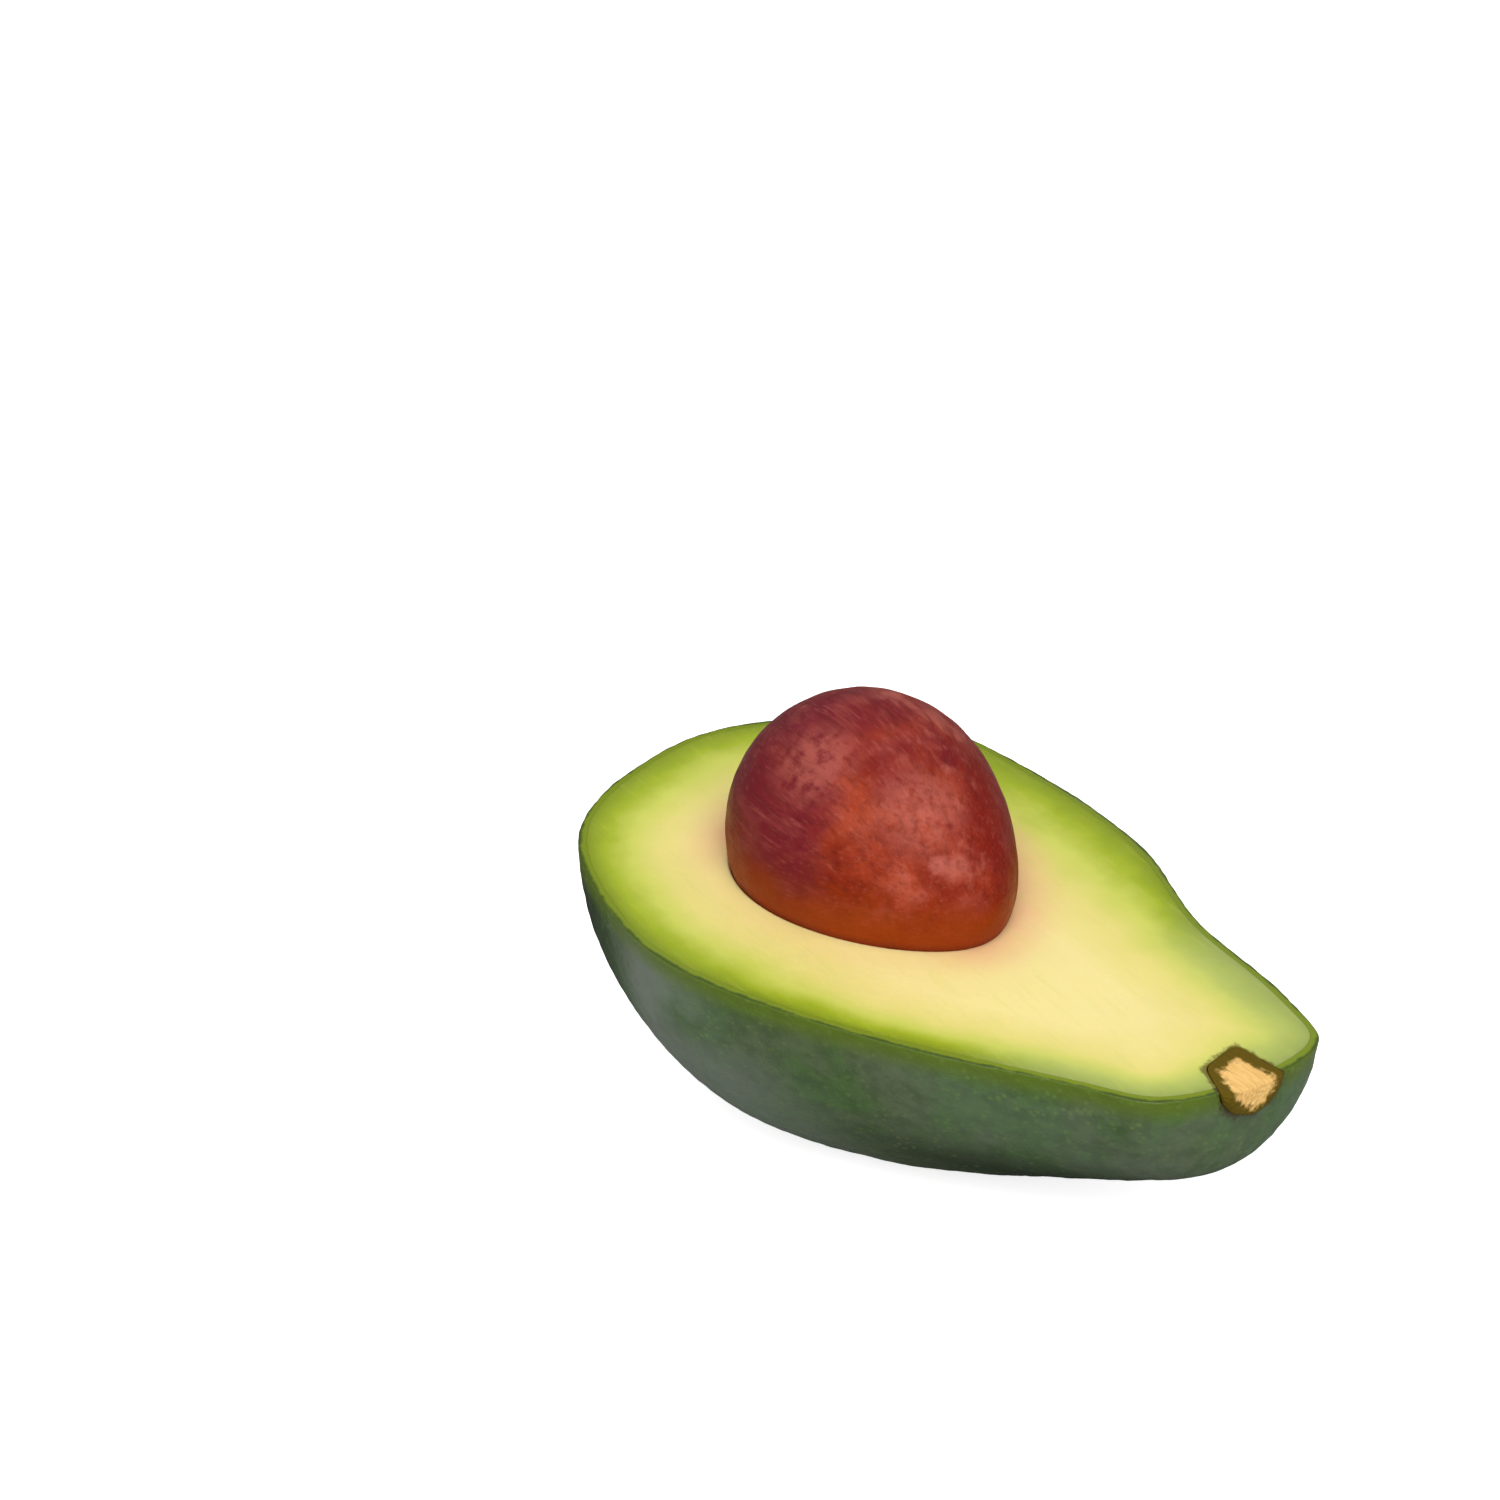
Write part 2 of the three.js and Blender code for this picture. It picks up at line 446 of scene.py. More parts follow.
def closed_piece(name, points, faces):
    """One smooth closed mesh: equal points are merged and the faces turned outward."""
    mesh = bpy.data.meshes.new(name)
    mesh.vertices.add(points.size // 3)
    mesh.vertices.foreach_set("co", points.astype(np.float32).ravel())
    mesh.loops.add(faces.size)
    mesh.loops.foreach_set("vertex_index", faces.astype(np.int32).ravel())
    mesh.polygons.add(len(faces))
    mesh.polygons.foreach_set("loop_start", np.arange(0, faces.size, 4, dtype=np.int32))
    mesh.polygons.foreach_set("loop_total", np.full(len(faces), 4, dtype=np.int32))
    mesh.update(calc_edges=True)
    work = bmesh.new()
    work.from_mesh(mesh)
    bmesh.ops.remove_doubles(work, verts=work.verts, dist=MERGE)
    bmesh.ops.recalc_face_normals(work, faces=work.faces)
    if work.calc_volume(signed=True) < 0:
        bmesh.ops.reverse_faces(work, faces=work.faces)
    if any(not edge.is_manifold for edge in work.edges):
        raise RuntimeError(f"{name} is not one closed surface")
    work.to_mesh(mesh)
    work.free()
    mesh.shade_smooth()
    return add_object(name, mesh)


def carve(piece, cutter):
    """Cuts the cutter's shape out of the piece and removes the cutter."""
    cut = piece.modifiers.new("pit", "BOOLEAN")
    cut.operation = "DIFFERENCE"
    cut.solver = "MANIFOLD"
    cut.object = cutter
    carved = piece.evaluated_get(bpy.context.evaluated_depsgraph_get())
    made = bpy.data.meshes.new_from_object(carved)
    piece.modifiers.clear()
    piece.data = made
    bpy.data.objects.remove(cutter)
    made.set_sharp_from_angle(angle=SHARP)


def corners_of(piece):
    """Places of a piece's corners in the fruit's own frame."""
    points = np.empty(len(piece.data.vertices) * 3, dtype=np.float32)
    piece.data.vertices.foreach_get("co", points)
    return untipped(points.reshape(-1, 3).astype(float))


def note(piece, name, values):
    """Keeps a number for each corner, which the piece's material reads."""
    attribute = piece.data.attributes.new(name, "FLOAT", "POINT")
    attribute.data.foreach_set("value", values.astype(np.float32))


def finish_piece(piece, material, node):
    """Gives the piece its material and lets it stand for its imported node."""
    piece.data.materials.clear()
    piece.data.materials.append(material)
    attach(piece, "root")
    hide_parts(node)


# Pieces


def rind_surface(sizes):
    """The rind as a shell: its outer face pebbled, its rim cut flat with an eased outer edge.

    Each rib's loop runs down the outside from the -y rim to the +y rim, over the rim, back up
    the inside and over the other rim. The outer face is the fruit's skin moved out by pebbles
    and slow swells, and moved in near the rim by the edge's rounding. The inside is the skin
    moved in by the rind's thickness.
    """
    across = np.linspace(RIM_END_ANGLE, np.pi - RIM_END_ANGLE, SKIN_COLUMNS)
    spin = np.pi + np.concatenate([RIM_ANGLES, across, np.pi - RIM_ANGLES[::-1]])
    station, spin = np.meshgrid(even_stations(FRUIT_ROWS), spin, indexing="ij")
    normal = fruit_normal(station, spin)
    outside = fruit_point(station, spin)
    relief = sizes.pebble_height * (pebbles(outside, sizes.pebble, PEBBLE_DRAW) - PEBBLE_MEAN)
    relief += layered(outside, RIND_SWELLS)
    edge = sizes.skin_edge
    under_rim = np.clip(edge + outside[..., 2], 0, edge)
    relief -= edge - np.sqrt(edge**2 - under_rim**2)
    outer = tipped(outside + normal * relief[..., None], 0)

    back = 2 * np.pi - np.linspace(0, np.pi, SKIN_INSIDE_COLUMNS)
    station, back = np.meshgrid(even_stations(FRUIT_ROWS), back, indexing="ij")
    thick = sizes.skin_thickness
    inside = fruit_point(station, back) - thick * fruit_normal(station, back)
    inner = tipped(inside, thick)
    points = np.concatenate([outer, inner], axis=1)
    return points, grid_faces(*points.shape[:2], wrap=True)


def seed_middle(sizes):
    """Middle of the seed."""
    return np.array([sizes.seed_along, 0, sizes.seed_rise])


def seed_axes(sizes):
    """Turn of the seed in plan, as a matrix."""
    return np.array(Euler((0, 0, sizes.seed_turn)).to_matrix())


def seed_radii(sizes, room):
    """Half length, width and height of the seed, with some room round it."""
    return room + np.array(
        [sizes.seed_half_length, sizes.seed_half_width, sizes.seed_half_height]
    )


def seed_swell(sizes, turn):
    """Width of the egg as a share of its middle: a power of sine times one plus some cosine."""
    return np.maximum(np.sin(turn), 0) ** sizes.seed_point * (1 + sizes.seed_egg * np.cos(turn))


def egg_share(sizes, points, room):
    """How far out points lie, as a share of the way to the egg's surface, and their angles."""
    place = (points - seed_middle(sizes)) @ seed_axes(sizes) / seed_radii(sizes, room)
    turn = np.arccos(np.clip(-place[..., 0], -1, 1))
    across, up = place[..., 1], place[..., 2]
    swell = np.maximum(seed_swell(sizes, turn), TINY)
    return np.hypot(across, up) / swell, turn, np.arctan2(up, across)


def hollow_ring(sizes, bearing, height):
    """Edge of the seed's hollow at a height, found on each bearing by halving, and its angles."""
    outward = np.stack([np.cos(bearing), np.sin(bearing), np.zeros_like(bearing)], -1)
    start = np.array([sizes.seed_along, 0, height])
    near, far = np.zeros_like(bearing), np.full_like(bearing, 2 * sizes.seed_half_length)
    for _ in range(HALVINGS):
        half = (near + far) / 2
        inside = egg_share(sizes, start + outward * half[:, None], sizes.seed_room)[0] < 1
        near, far = np.where(inside, half, near), np.where(inside, far, half)
    ring = start + outward * near[:, None]
    return ring, *egg_share(sizes, ring, sizes.seed_room)[1:]


def egg_point(sizes, turn, spin, room=0.0):
    """The seed: along its length by turn, and round each of its ellipses by spin."""
    swell = seed_swell(sizes, turn)
    place = np.stack([-np.cos(turn), swell * np.cos(spin), swell * np.sin(spin)], -1)
    return seed_middle(sizes) + place * seed_radii(sizes, room) @ seed_axes(sizes).T


def fruit_outline(inset):
    """Outline of the cut moved inward: along the -y side and back along the +y side."""
    stations = even_stations(FRUIT_ROWS)
    station = np.concatenate([stations, stations[-2:0:-1]])
    side = np.concatenate([np.full(FRUIT_ROWS, np.pi), np.full(FRUIT_ROWS - 2, 2 * np.pi)])
    return fruit_point(station, side) - inset * fruit_normal(station, side)


def flesh_surface(sizes):
    """The flesh as two sheets: the hollow, its lip and the cut face as one, and the belly.

    The hollow runs from its lowest point up the egg to a ring just under the cut. The lip is a
    quarter circle from there to the cut. The face runs in straight lines from the lip to the
    outline, with a slow relief, and its last rows lie at set distances from the outline. The
    belly is the fruit's skin moved in by the rind's thickness.
    """
    outline = fruit_outline(sizes.skin_thickness + sizes.seat)
    bearing = np.arctan2(outline[:, 1], outline[:, 0] - sizes.seed_along)
    ring, turn, spin = hollow_ring(sizes, bearing, -sizes.lip)
    edge = np.stack([-np.cos(turn), np.sin(turn) * np.cos(spin), np.sin(turn) * np.sin(spin)], -1)
    share = np.linspace(0, 1, HOLLOW_ROWS, endpoint=False)[:, None, None]
    ball = unit((1 - share) * np.array([0.0, 0.0, -1.0]) + share * edge)
    turn = np.arccos(np.clip(-ball[..., 0], -1, 1))
    hollow = egg_point(sizes, turn, np.arctan2(ball[..., 2], ball[..., 1]), sizes.seed_room)

    outward = np.stack([np.cos(bearing), np.sin(bearing), np.zeros_like(bearing)], -1)
    angle = np.linspace(0, np.pi / 2, LIP_ROWS)[:, None, None]
    upward = np.array([0.0, 0.0, 1.0])
    lip = ring + sizes.lip * ((1 - np.cos(angle)) * outward + np.sin(angle) * upward)

    ray = np.linalg.norm(outline - lip[-1], axis=-1)
    last = RIM_STEPS[:, None] / ray
    share = np.linspace(0, 1, FLESH_FACE_ROWS)[1:, None] * (1 - RIM_WIDTH / ray)
    share = np.concatenate([share, 1 - last])[..., None]
    face = (1 - share) * lip[-1] + share * outline
    face[..., 2] = 0
    run = share[..., 0] * ray
    calm = smooth_step(run, 0, FACE_CALM[0]) * smooth_step(ray - run, 0, FACE_CALM[1])
    face[..., 2] = calm * layered(face, FLESH_SWELLS)
    polar = np.concatenate([hollow, lip, face])

    across = np.linspace(np.pi, 2 * np.pi, FLESH_BELLY_COLUMNS)
    station, across = np.meshgrid(even_stations(FRUIT_ROWS), across, indexing="ij")
    inset = sizes.skin_thickness + sizes.seat
    belly = fruit_point(station, across) - inset * fruit_normal(station, across)
    return joined(
        (tipped(polar), grid_faces(*polar.shape[:2], wrap=True)),
        (tipped(belly, inset), grid_faces(*belly.shape[:2])),
    )


def gap_to(points, outline):
    """Distance over the cut from each point to the nearest point of an outline."""
    parts = np.array_split(points[:, :2], 1 + len(points) // BATCH)
    steps = [np.moveaxis(part[:, None] - outline[None, :, :2], -1, 0) for part in parts]
    return np.concatenate([np.hypot(*step).min(1) for step in steps])


def green_quickening(places):
    """How fast the green fades inward, as a product of eased steps along the fruit and across.

    It fades slowly on the far side and at the blossom end, and fast by the stalk.
    """
    x, y = places[:, 0] / MM, places[:, 1] / MM
    blossom = 0.72 + 0.28 * smooth_step(x, 10, 30)
    neck = 1 + 0.6 * smooth_step(x, 55, 80) + 0.3 * smooth_step(x, 98, 108)
    far = smooth_step(y, 0, 16) * smooth_step(x, 15, 30)
    return blossom * neck * (1 - 0.42 * far)


def seed_surface(sizes):
    """The seed: an egg with slow swells and faint ridges that run from end to end."""
    turn = np.linspace(0, np.pi, SEED_ROWS)[:, None]
    spin = np.linspace(0, 2 * np.pi, SEED_COLUMNS, endpoint=False)[None, :]
    turn, spin = np.broadcast_arrays(turn, spin)
    points = egg_point(sizes, turn, spin)
    outward = unit(points - seed_middle(sizes))
    girth = np.stack([turn * RIDGE_STRETCH, np.cos(spin), np.sin(spin)], -1)
    ridges = np.sin(turn) ** 2 * swells(girth, RIDGE_WIDTH, RIDGE_DRAW)
    relief = layered(points, SEED_SWELLS) + RIDGE_HEIGHT * ridges
    placed = tipped(points + outward * relief[..., None])
    return placed, grid_faces(SEED_ROWS, SEED_COLUMNS, wrap=True)


def stalk_profile(sizes, grown):
    """Places along the stalk's end and its radii: a flare with rounded corners and two caps.

    The third row, the share of the radius, is 1 on the side and falls to 0 in a cap's middle.
    """
    root, tip = sizes.stalk_root - grown, sizes.stalk_tip + grown
    flare = (1 - np.cos(np.linspace(0, np.pi, STALK_ROWS - 2 * STALK_CAP_ROWS))) / 2
    side = root + (tip - root) * flare
    radius = sizes.stalk_root_radius + (sizes.stalk_tip_radius - sizes.stalk_root_radius) * flare
    corner = sizes.stalk_corner
    into = np.clip(corner - np.minimum(side - root, tip - side), 0, corner)
    radius = radius + grown - corner + np.sqrt(corner**2 - into**2)
    cap = np.linspace(0, 1, STALK_CAP_ROWS, endpoint=False)
    share = np.concatenate([cap, np.ones_like(side), cap[::-1]])
    along, radius = np.pad([side, radius], ((0, 0), (len(cap), len(cap))), mode="edge")
    return along, radius, share


def stalk_surface(sizes, grown=0.0, above=0.0, beyond=0.0):
    """Half of the stalk's end: each station is a half disc, round below and flat on top.

    Its side is lobed, and its inner end slopes across the cut. A cap's rings shrink toward a
    point inside the half disc.
    """
    along, radius, share = (values[:, None] for values in stalk_profile(sizes, grown))
    arc = np.linspace(0, -np.pi, STALK_ARC_COLUMNS)
    top = np.linspace(-1, 1, STALK_TOP_COLUMNS)[1:-1]
    disc_y = np.concatenate([np.cos(arc), top])
    disc_z = np.concatenate([np.sin(arc), np.zeros_like(top)])
    points = np.stack(
        [
            np.broadcast_to(along, (len(along), len(disc_y))),
            sizes.stalk_across + radius * share * disc_y,
            radius * (share * disc_z - STALK_CAP_MIDDLE * (1 - share)),
        ],
        -1,
    )
    at_tip = along[:, 0] >= along.max() - TINY
    ragged = 1 + sizes.stalk_lobes * layered(points, STALK_SWELLS) / MM
    points[..., 1] = sizes.stalk_across + (points[..., 1] - sizes.stalk_across) * ragged
    points[..., 2] *= ragged
    points[..., 2] += above * share * (disc_z > -TINY)
    inner = (along.max() - along) / (along.max() - along.min())
    points[..., 0] -= sizes.stalk_slant * inner * (points[..., 1] - sizes.stalk_across)
    points[at_tip, :, 0] += beyond
    return tipped(points), grid_faces(len(along), len(disc_y), wrap=True)


# Materials

# Colours of the flesh by depth, in millimetres, and the depth where the last one is reached.
FLESH_STOPS = (
    (0.0, "flesh_rim"),
    (2.6, "flesh_green"),
    (5.8, "flesh_lime"),
    (10.0, "flesh_pale"),
    (19.0, "flesh_heart"),
)
GREEN_REACH = 25
SEED_PAINTED_HIGHLIGHTS = ((62, -3, 18.5), (48, -11, 21))  # places of painted highlights on the seed's coat, in millimetres


def place_node(tree, kind, entries=(), **settings):
    """Adds a node with these settings. An entry is linked if it is a socket, and set if not."""
    made = tree.nodes.new(kind)
    for name, value in settings.items():
        setattr(made, name, value)
    for name, value in dict(entries).items():
        if isinstance(value, Number):
            value = value.socket
        if isinstance(value, bpy.types.NodeSocket):
            tree.links.new(value, made.inputs[name])
        else:
            made.inputs[name].default_value = value
    return made


class Number:
    """A number that a node tree works out. Sums on it add nodes to its tree."""

    def __init__(self, socket):
        self.socket = socket
        self.tree = socket.id_data

    def sum(self, operation, *values):
        """The result of a maths node."""
        node = place_node(self.tree, "ShaderNodeMath", enumerate(values), operation=operation)
        return Number(node.outputs[0])

    def __add__(self, other):
        return self.sum("ADD", self, other)

    def __sub__(self, other):
        return self.sum("SUBTRACT", self, other)

    def __rsub__(self, other):
        return self.sum("SUBTRACT", other, self)

    def __mul__(self, other):
        return self.sum("MULTIPLY", self, other)

    def __truediv__(self, other):
        return self.sum("DIVIDE", self, other)

    def __rtruediv__(self, other):
        return self.sum("DIVIDE", other, self)

    def or_more(self, other):
        """The higher of two numbers."""
        return self.sum("MAXIMUM", self, other)

    def eased(self, start, end):
        """0 at start, 1 at end, eased between."""
        entries = {"Value": self, "From Min": start, "From Max": end}
        node = place_node(self.tree, "ShaderNodeMapRange", entries, interpolation_type="SMOOTHSTEP")
        return Number(node.outputs["Result"])

    def fades(self, start_mm, end_mm):
        """0 at the first length, 1 at the second, eased between."""
        return self.eased(start_mm * MM, end_mm * MM)


def axes_of(vector):
    """The three parts of a vector."""
    parts = place_node(vector.id_data, "ShaderNodeSeparateXYZ", {0: vector}).outputs
    return [Number(part) for part in parts]


def vector_sum(operation, *vectors):
    """The outputs of a maths node for vectors."""
    tree = vectors[0].id_data
    entries = enumerate(vectors)
    return place_node(tree, "ShaderNodeVectorMath", entries, operation=operation).outputs


def mixed(tree, amount, first, second):
    """A colour between two."""
    entries = {0: amount, 6: first, 7: second}
    return place_node(tree, "ShaderNodeMix", entries, data_type="RGBA").outputs[2]


def graded(value, stops):
    """A colour read from a row of stops, each a place from 0 to 1 and a colour."""
    node = place_node(value.tree, "ShaderNodeValToRGB", {"Fac": value})
    ramp = node.color_ramp.elements
    while len(ramp) < len(stops):
        ramp.new(1)
    for element, (position, shade) in zip(ramp, stops):
        element.position = position
        element.color = shade
    return node.outputs["Color"]


def object_place(tree):
    """The place in the piece's own frame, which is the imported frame."""
    return place_node(tree, "ShaderNodeTexCoord").outputs["Object"]


def fruit_place(tree, stretch=1.0):
    """The place in the fruit's own frame, in metres, with its length along x cut by a factor."""
    entries = {
        "Vector": object_place(tree),
        "Location": TIP_PLACE.tolist(),
        "Rotation": LAY_TURN,
        "Scale": (stretch, 1, 1),
    }
    return place_node(tree, "ShaderNodeMapping", entries, vector_type="TEXTURE").outputs["Vector"]


def group_tree(name, entries, result):
    """An empty node group with these inputs, and one number as its result."""
    tree = bpy.data.node_groups.new(name, "ShaderNodeTree")
    for entry, kind in entries.items():
        tree.interface.new_socket(name=entry, in_out="INPUT", socket_type=f"NodeSocket{kind}")
    tree.interface.new_socket(name=result, in_out="OUTPUT", socket_type="NodeSocketFloat")
    return tree, tree.nodes.new("NodeGroupInput").outputs, tree.nodes.new("NodeGroupOutput").inputs


def patches_group():
    """Soft irregular patches: noise of a given size, cut between two levels."""
    entries = {"Place": "Vector", "Size": "Float", "From": "Float", "To": "Float"}
    tree, given, result = group_tree("Soft patches", entries, "Mask")
    scale = 1.0 / Number(given["Size"])
    noise = {"Vector": given["Place"], "Scale": scale, "Detail": 3.0, "Roughness": 0.55}
    value = Number(place_node(tree, "ShaderNodeTexNoise", noise).outputs["Fac"])
    tree.links.new(value.eased(given["From"], given["To"]).socket, result["Mask"])


def specks_group():
    """Round specks: cells of a given size with a soft dot of a given share in each."""
    entries = {"Place": "Vector", "Size": "Float", "Share": "Float"}
    tree, given, result = group_tree("Specks", entries, "Mask")
    cells = {"Vector": given["Place"], "Scale": 1.0 / Number(given["Size"])}
    distance = Number(place_node(tree, "ShaderNodeTexVoronoi", cells).outputs["Distance"])
    share = Number(given["Share"])
    tree.links.new(distance.eased(share, share * 0.5).socket, result["Mask"])


def stalk_gap_group(sizes):
    """How far a place of the fruit's frame lies outside the stalk's flared side and inner end."""
    tree, given, result = group_tree("Stalk gap", {"Place": "Vector"}, "Gap")
    axis = vector_sum("SUBTRACT", given["Place"], (0, sizes.stalk_across, 0))[0]
    reach = Number(vector_sum("LENGTH", vector_sum("MULTIPLY", axis, (0, 1, 1))[0])["Value"])
    x, y, _ = axes_of(axis)
    inner = x - sizes.stalk_root
    flare = sizes.stalk_tip_radius - sizes.stalk_root_radius
    flare /= sizes.stalk_tip - sizes.stalk_root
    outside = reach - (inner * flare + sizes.stalk_root_radius)
    behind = (inner + y * sizes.stalk_slant) * -1.0
    gap = outside.sum("SMOOTH_MAX", outside, behind, sizes.stalk_corner)
    tree.links.new(gap.socket, result["Gap"])


def new_material(name, **constants):
    """A material, its node tree, and its Principled shader with these fixed settings."""
    made = bpy.data.materials.new(name)
    made.use_nodes = True
    shader = made.node_tree.nodes["Principled BSDF"]
    for entry, value in constants.items():
        shader.inputs[entry.replace("_", " ").title().replace("Ior", "IOR")].default_value = value
    return made, made.node_tree, shader


class Surface:
    """A material in the making: its node tree, and its shade and normal so far.

    x, y and z are the place in the fruit's own frame. Patterns lie in the piece's frame, or in
    the fruit's own if in_fruit is set.
    """

    def __init__(self, name, shade=None, in_fruit=False, **constants):
        self.made, self.tree, self.shader = new_material(name, **constants)
        self.fruit = fruit_place(self.tree)
        self.x, self.y, self.z = axes_of(self.fruit)
        self.place = self.fruit if in_fruit else object_place(self.tree)
        self.shade = shade
        self.normal = None

    def shared(self, name, entries):
        """The result of a node group that the materials share."""
        group = bpy.data.node_groups[name]
        node = place_node(self.tree, "ShaderNodeGroup", entries, node_tree=group)
        return Number(node.outputs[0])

    def patches(self, size_mm, low=0.2, high=0.8, stretch=None):
        """Soft patches of that size, cut between two levels. They may be longer along the fruit."""
        place = fruit_place(self.tree, stretch) if stretch else self.place
        entries = {"Place": place, "Size": size_mm * MM, "From": low, "To": high}
        return self.shared("Soft patches", entries)

    def wandering(self, size_mm, spread_mm):
        """A length that wanders between nothing and a spread, in soft patches."""
        return self.patches(size_mm) * (spread_mm * MM)

    def specks(self, size_mm, share):
        """Round specks in cells of that size."""
        entries = {"Place": self.place, "Size": size_mm * MM, "Share": share}
        return self.shared("Specks", entries)

    def stalk_gap(self):
        """Distance from the stalk's end, negative inside it."""
        return self.shared("Stalk gap", {"Place": self.fruit})

    def distance(self, *point_mm):
        """Distance from a point of the fruit's own frame."""
        point = tuple(value * MM for value in point_mm)
        return Number(vector_sum("DISTANCE", self.fruit, point)["Value"])

    def kept(self, name):
        """A number that note() kept on the piece."""
        node = place_node(self.tree, "ShaderNodeAttribute", attribute_name=name)
        return Number(node.outputs["Fac"])

    def paint(self, shade, mask):
        """Lays a colour over the shade so far, as far as the mask says."""
        self.shade = mixed(self.tree, mask, self.shade, shade)

    def emboss(self, height, depth_mm):
        """Bends the normal so far by a height from 0 to 1, which stands for a depth."""
        entries = {"Height": height, "Distance": depth_mm * MM, "Strength": 1.0}
        if self.normal is not None:
            entries["Normal"] = self.normal
        self.normal = place_node(self.tree, "ShaderNodeBump", entries).outputs["Normal"]

    def finished(self, roughness):
        """Feeds the shader, and gives the material."""
        self.tree.links.new(self.shade, self.shader.inputs["Base Color"])
        self.tree.links.new(roughness.socket, self.shader.inputs["Roughness"])
        self.tree.links.new(self.normal, self.shader.inputs["Normal"])
        return self.made


def rind_bloom_and_sheen(rind):
    """Grey wax that is partly a painted reflection of the pale surround: round the waist, under the
    belly on the near side, and thinly on the neck.
    """
    far = rind.y.fades(-8, 12)
    along = rind.x + (rind.wandering(17, 36) - 18 * MM) * far
    past_blossom = along.fades(34, 46)
    waist = along.fades(66, 48) * past_blossom
    neck = rind.x.fades(76, 94) * 0.3
    bloom_and_sheen = rind.patches(9, 0.2, 0.6) * waist.or_more(neck)
    belly = along.fades(80, 54) * past_blossom
    # painted reflection of the floor on the near side of the lower belly
    low = rind.z.fades(-5, -17) * 0.85 * (1 - far)
    return bloom_and_sheen.or_more(low * belly) * (0.75 - far * 0.3)


def rind_material(colours):
    """Mottled green with flecks, grey wax that is partly painted sheen, and painted shade at the
    blossom end and under the neck.

    It is warmer by the cut, corky at the stalk and at the blossom scar, and waxy with fine pits.
    """
    rind = Surface("Rind", colours.skin_green, specular_ior_level=0.35)
    rind.paint(colours.skin_dull, rind.patches(13, 0.4, 0.65))
    mottle = rind.patches(2.4, 0.4, 0.65)
    rind.paint(colours.skin_deep, mottle * 0.4)
    # painted sheen: grey wax where the rind reflects the pale surround
    rind.paint(colours.skin_bloom_and_sheen, rind_bloom_and_sheen(rind))
    # painted shade under the neck and at the blossom end
    under_neck = rind.z.fades(-12, -23) * rind.x.fades(66, 92)
    dark = rind.x.fades(46, 24).or_more(under_neck) * 0.9
    rind.paint(colours.skin_tip_painted_shade, dark)
    rind.paint(colours.skin_warm, rind.z.fades(-4.5, -0.5) * 0.85)
    fleck = rind.specks(1.3, 0.36) * rind.patches(5, 0.3, 0.75)
    rind.paint(colours.skin_fleck, fleck * 0.4)
    ragged = rind.wandering(1.1, 1.6) - 0.6 * MM
    cork = (rind.stalk_gap() + ragged).fades(1.5, 0.2)
    scar = (rind.distance(0, 0, 0) + ragged).fades(2.6, 1.2)
    rind.paint(colours.cork, cork.or_more(scar) * 0.8)
    inward = rind.kept("wall_share") + (mottle * 0.2 - 0.1)
    rim = mixed(rind.tree, inward.eased(0.1, 0.55), colours.rind_line, colours.rind_cut)
    rind.paint(rim, rind.z.fades(-0.14, -0.04) * (1 - cork))
    rind.emboss(rind.patches(0.9), 0.05)
    rind.emboss(rind.specks(0.6, 0.5), 0.012)
    return rind.finished(rind.patches(3, 0.3, 0.7) * 0.12 + 0.36 + dark * 0.5)


def flesh_material(colours):
    """Pale yellow that turns lime and green toward the rind, and greyer green by the stalk.

    It is stained peach by the seed, a stain that also paints shade round the seed, less on the near
    side, and brown by the stalk.
    """
    flesh = Surface(
        "Flesh",
        specular_ior_level=0.35,
        subsurface_weight=0.3,
        subsurface_radius=(1.0, 0.8, 0.35),
        subsurface_scale=2.5 * MM,
    )
    depth = flesh.kept("green_depth")
    depth = depth + (flesh.wandering(7, 1.6) - 0.8 * MM) * depth.fades(0, 3)
    stops = [(at / GREEN_REACH, getattr(colours, name)) for at, name in FLESH_STOPS]
    flesh.shade = graded(depth / (GREEN_REACH * MM), stops)
    stemward = (flesh.x + flesh.y * 0.3).fades(82, 100)
    flesh.paint(colours.flesh_stem, stemward * (depth.fades(9, 3) * 0.45))
    # peach stain round the seed that is also painted shade there, weaker on the near side
    stain_and_shade = flesh.kept("seed_gap").fades(9, 0) * (flesh.patches(4, 0.3, 0.7) * 0.2 + 0.8)
    front = flesh.y.fades(2, -9) * flesh.x.fades(26, 38)
    flesh.paint(colours.flesh_stain_and_shade, stain_and_shade * (1 - front * 0.8))
    flesh.paint(colours.flesh_lime, flesh.patches(1.1, 0.5, 0.8, stretch=9) * 0.22)
    ragged = flesh.wandering(1.1, 0.9) - 0.4 * MM
    stain = (flesh.stalk_gap() + ragged).fades(0.9, 0.2)
    flesh.paint(colours.stalk_bark, stain * 0.85)
    flesh.emboss(flesh.patches(0.5, 0.3, 0.7, stretch=0.12), 0.012)
    flesh.emboss(flesh.patches(1.2), 0.02)
    return flesh.finished(flesh.patches(2.5, 0.3, 0.7) * 0.14 + 0.4)


def seed_scuffs_and_highlights(seed, side):
    """Pale scuff marks with painted highlights: scattered ones, most between the cheeks, and a
    painted highlight round each listed place.
    """
    middle = side.fades(-3, 7) * side.fades(15, 9) * seed.z.fades(3, 14)
    scuffs_and_highlights = seed.patches(3.6, 0.42, 0.72, stretch=1.6) * 0.65 * (middle * 0.75 + 0.25)
    for highlight_place in SEED_PAINTED_HIGHLIGHTS:
        highlight = seed.distance(*highlight_place).fades(9, 2) * seed.patches(2, 0.25, 0.6)
        scuffs_and_highlights = scuffs_and_highlights.or_more(highlight * 0.55)
    return scuffs_and_highlights


